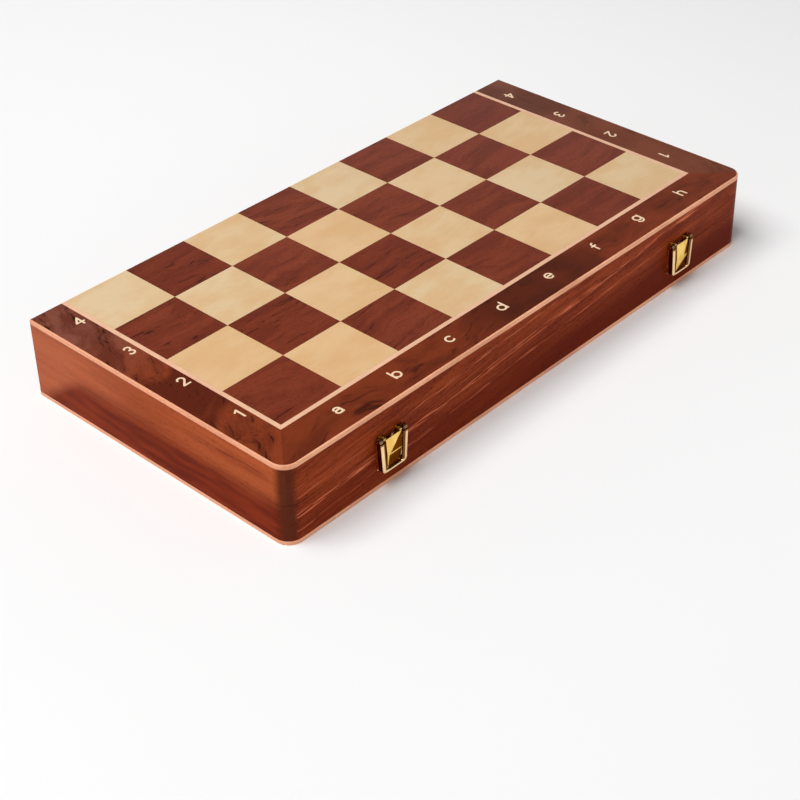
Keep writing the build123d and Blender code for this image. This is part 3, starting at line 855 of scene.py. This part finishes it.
def tongue_metal(name, slant, start):
    """The tongue's plating: golden on one side of a slanting edge and a painted dark reflection on the
    other, with a painted highlight along the fold.
    """
    material, tree, shader = new_material(name)
    spot = add_node(tree, "TexCoord").outputs["Object"]
    across, up, out = on_hasp(tree, spot)
    edge = reckon(tree, "MULTIPLY_ADD", up, slant, across)
    share = ease(tree, edge, start - 0.0003, start + 0.0003)
    off_fold = reckon(tree, "ABSOLUTE", reckon(tree, "SUBTRACT", up, fold_up))
    share = reckon(tree, "MULTIPLY", share, ease(tree, off_fold, 0.0002, 0.0005))
    skin = plating(tree, spot, tone(255, 220, 132), tone(240, 192, 100), roughness=0.22)
    # The colour of the painted dark reflection
    deep = plating(tree, spot, tone(118, 64, 18), tone(94, 48, 10))["Colour"]
    colour = stain(tree, share, skin["Colour"], deep)
    bare_metal(tree, shader, colour, skin["Roughness"], skin["Cloud"], 0.3)
    shader.inputs["Specular Tint"].default_value = (0.65, 0.5, 0.3, 1.0)
    return material


left_tongue = (
    tongue_metal("left_tongue", slant=-0.92, start=-0.0010),
    tongue_metal("left_tongue_foot", slant=-0.07, start=-0.0037),
)
right_tongue = (
    tongue_metal("right_tongue", slant=-0.345, start=0.0028),
    tongue_metal("right_tongue_foot", slant=-1.23, start=0.0087),
)


def pan_side(up):
    """Half the width of the pan at a height from the seam."""
    return pan_half_foot + taper * (up - pan_foot)


def only_corners(made):
    """The corners among what an operator made."""
    return [part for part in made["geom"] if isinstance(part, bmesh.types.BMVert)]


def round_over(shape, edges, offset, segments):
    """Rounds edges over in a few steps."""
    bmesh.ops.bevel(
        shape, geom=edges, offset=offset, segments=segments, profile=0.5, affect="EDGES", material=-1
    )


def block(shape, low, high):
    """A small block between two corners, its edges rounded."""
    corners = bmesh.ops.create_cube(shape, size=1.0)["verts"]
    for corner in corners:
        corner.co = Vector([a + (t + 0.5) * (b - a) for a, b, t in zip(low, high, corner.co)])
    edges = list({edge for corner in corners for edge in corner.link_edges})
    round_over(shape, edges, offset=0.0001, segments=2)


def press_pan(shape):
    """The pan: its back and top open, its front cut out between two rounded rails and a lip."""
    outline = bmesh.ops.create_grid(shape, x_segments=1, y_segments=1, size=1.0)["verts"]
    for corner in outline:
        up = pan_top if corner.co.y > 0 else pan_foot
        corner.co = Vector((math.copysign(pan_side(up), corner.co.x), up, pan_back))
    feet = [corner for corner in outline if corner.co.y < 0]
    bmesh.ops.bevel(
        shape, geom=feet, offset=foot_rounding, segments=5, profile=0.5, affect="VERTICES", material=-1
    )
    raised = only_corners(bmesh.ops.extrude_face_region(shape, geom=list(shape.faces)))
    bmesh.ops.translate(shape, verts=raised, vec=(0, 0, pan_front - pan_back))
    shape.normal_update()
    middles = [(face, face.calc_center_median()) for face in shape.faces]
    open_faces = [
        face
        for face, middle in middles
        if abs(middle.z - pan_back) < hair or abs(middle.y - pan_top) < hair
    ]
    bmesh.ops.delete(shape, geom=open_faces, context="FACES")
    # The front is cut out up to its top, where the strip that this leaves is a line and goes too
    front = [face for face in shape.faces if abs(face.calc_center_median().z - pan_front) < hair]
    bmesh.ops.inset_region(shape, faces=front, thickness=lip, use_boundary=True, use_even_offset=True)
    front = max(
        (face for face in shape.faces if abs(face.calc_center_median().z - pan_front) < hair),
        key=lambda face: face.calc_area(),
    )
    for corner in front.verts:
        if corner.co.y > pan_top - 2 * lip:
            corner.co.y = pan_top
        corner.co.x = math.copysign(abs(corner.co.x) - (rail - lip), corner.co.x)
    rim = [edge for edge in front.edges if any(pan_top - corner.co.y > hair for corner in edge.verts)]
    bmesh.ops.delete(shape, geom=[front], context="FACES_ONLY")
    top_strip = [face for face in shape.faces if face.calc_area() < 1e-9]
    bmesh.ops.delete(shape, geom=top_strip, context="FACES")
    # The inner edge of rails and lip is turned back and their outer one rounded over
    turned = only_corners(bmesh.ops.extrude_edge_only(shape, edges=rim))
    bmesh.ops.translate(shape, verts=turned, vec=(0, 0, -turned_back))
    bmesh.ops.remove_doubles(shape, verts=shape.verts, dist=hair)
    shoulders = [
        edge
        for edge in shape.edges
        if len(edge.link_faces) == 2
        and all(abs(corner.co.z - pan_front) < hair for corner in edge.verts)
        and edge.calc_face_angle(0.0) > 0.8
    ]
    bmesh.ops.bevel(
        shape,
        geom=shoulders,
        offset=shoulder_rounding,
        segments=5,
        profile=0.5,
        affect="EDGES",
        material=-1,
        clamp_overlap=True,
    )
    bmesh.ops.recalc_face_normals(shape, faces=shape.faces)
    bmesh.ops.solidify(shape, geom=list(shape.faces), thickness=sheet)


def roll_curl(shape, side):
    """A curl rolled round the pivot at the top of one rail, and the strap that leads to it."""
    centre = side * curl_middle
    turn = Matrix.Translation((centre, pivot_up, pivot_out)) @ Matrix.Rotation(math.pi / 2, 4, "Y")
    before = set(shape.faces)
    for radius in (curl_radius, pin_radius):
        bmesh.ops.create_cone(
            shape,
            cap_ends=False,
            segments=28,
            radius1=radius,
            radius2=radius,
            depth=curl_width,
            matrix=turn,
        )
    tube = [face for face in shape.faces if face not in before]
    ends = {edge for face in tube for edge in face.edges if len(edge.link_faces) == 1}
    for end in (-1, 1):
        loops = [edge for edge in ends if (edge.verts[0].co.x - centre) * end > 0]
        bmesh.ops.bridge_loops(shape, edges=loops)
    block(shape, (centre - strap_half, *strap[0]), (centre + strap_half, *strap[1]))


def fold_tongue(shape):
    """The flap inside the foot, and the tongue, folded outwards and standing clear above the seam."""
    before = set(shape.faces)
    block(shape, *flap)
    tongue = bmesh.ops.create_grid(shape, x_segments=1, y_segments=2, size=1.0)["verts"]
    for corner in tongue:
        up, out = {-1: tongue_foot, 0: tongue_fold, 1: tongue_top}[round(corner.co.y)]
        half = pan_side(min(up, pan_top)) - rail - tongue_gap
        corner.co = Vector((math.copysign(half, corner.co.x), up, out))
    fronts = [face for face in shape.faces if face not in before]
    backs = only_corners(bmesh.ops.extrude_face_region(shape, geom=fronts))
    bmesh.ops.translate(shape, verts=backs, vec=(0, 0, -sheet))
    edges = {edge for face in shape.faces if face not in before for edge in face.edges}
    sharp = [edge for edge in edges if len(edge.link_faces) == 2 and edge.calc_face_angle(0.0) > 0.8]
    round_over(shape, sharp, offset=tongue_rounding, segments=2)
    for face in shape.faces:
        if face not in before:
            face.material_index = 2 if face.calc_center_median().y < fold_up else 1


def new_hasp(name, middle, tongue_brasses):
    """A hasp as pressed, its tongue in two materials of its own with painted reflections, one each side of
    the fold.
    """
    shape = bmesh.new()
    press_pan(shape)
    for side in (-1, 1):
        roll_curl(shape, side)
    # The ridge that springs under the catch
    block(shape, *ridge)
    fold_tongue(shape)
    bmesh.ops.recalc_face_normals(shape, faces=shape.faces)
    for face in shape.faces:
        face.smooth = True
    stand = Matrix.Translation((middle, box_front, seam_height)) @ Matrix.Rotation(math.pi / 2, 4, "X")
    bmesh.ops.transform(shape, matrix=stand, verts=shape.verts)
    hasp = new_piece(name, shape, hasp_brass)
    for brass in tongue_brasses:
        hasp.data.materials.append(brass)
    hasp.data.set_sharp_from_angle(angle=0.7)
    return hasp


for side, middle, brasses in (("left", left_latch, left_tongue), ("right", right_latch, right_tongue)):
    hasp = new_hasp(f"pressed_hasp_{side}", middle, brasses)
    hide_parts(f"hasp_{side}")
    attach(hasp, f"hasp_{side}")
